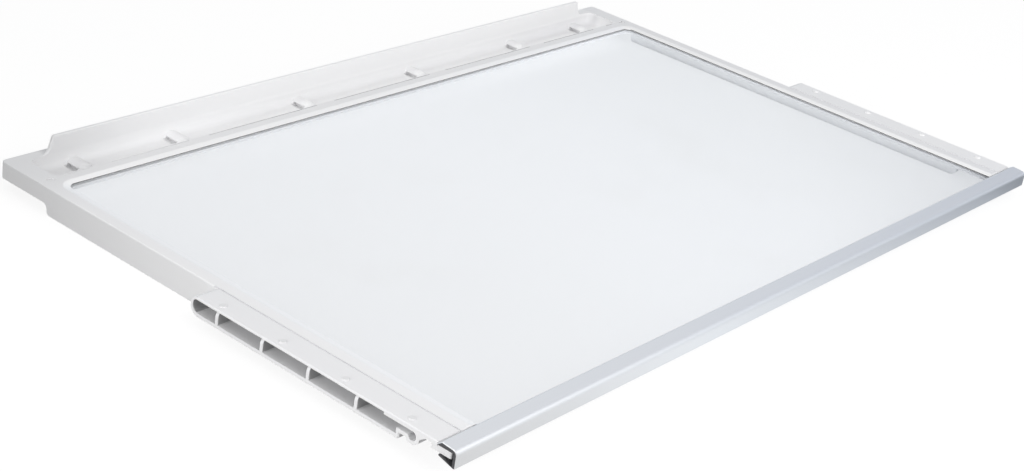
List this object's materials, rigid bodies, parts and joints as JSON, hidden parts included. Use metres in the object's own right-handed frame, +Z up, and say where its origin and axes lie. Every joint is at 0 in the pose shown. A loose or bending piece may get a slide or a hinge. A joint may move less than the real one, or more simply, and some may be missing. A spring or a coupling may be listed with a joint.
{
  "type": "fridge glass shelf",
  "caption": "Flat glass fridge shelf in a white moulded frame with side runners, a rear trough with an upright back, and a silver front trim.",
  "frame": {"origin": "on the surface that the side walls stand on, at the centre of the shelf's outline", "axes": "+X to the right along the front trim, +Y to the back, +Z up"},
  "size_m": [0.52, 0.3284, 0.0251],
  "materials": {
    "white_plastic": "semi-gloss moulded white",
    "clear_glass": "clear, polished",
    "silver_trim": "satin silver"
  },
  "bodies": {
    "root": {"frame": "white_plastic", "glass_plate": "clear_glass", "front_trim": "silver_trim"}
  },
  "joints": []
}
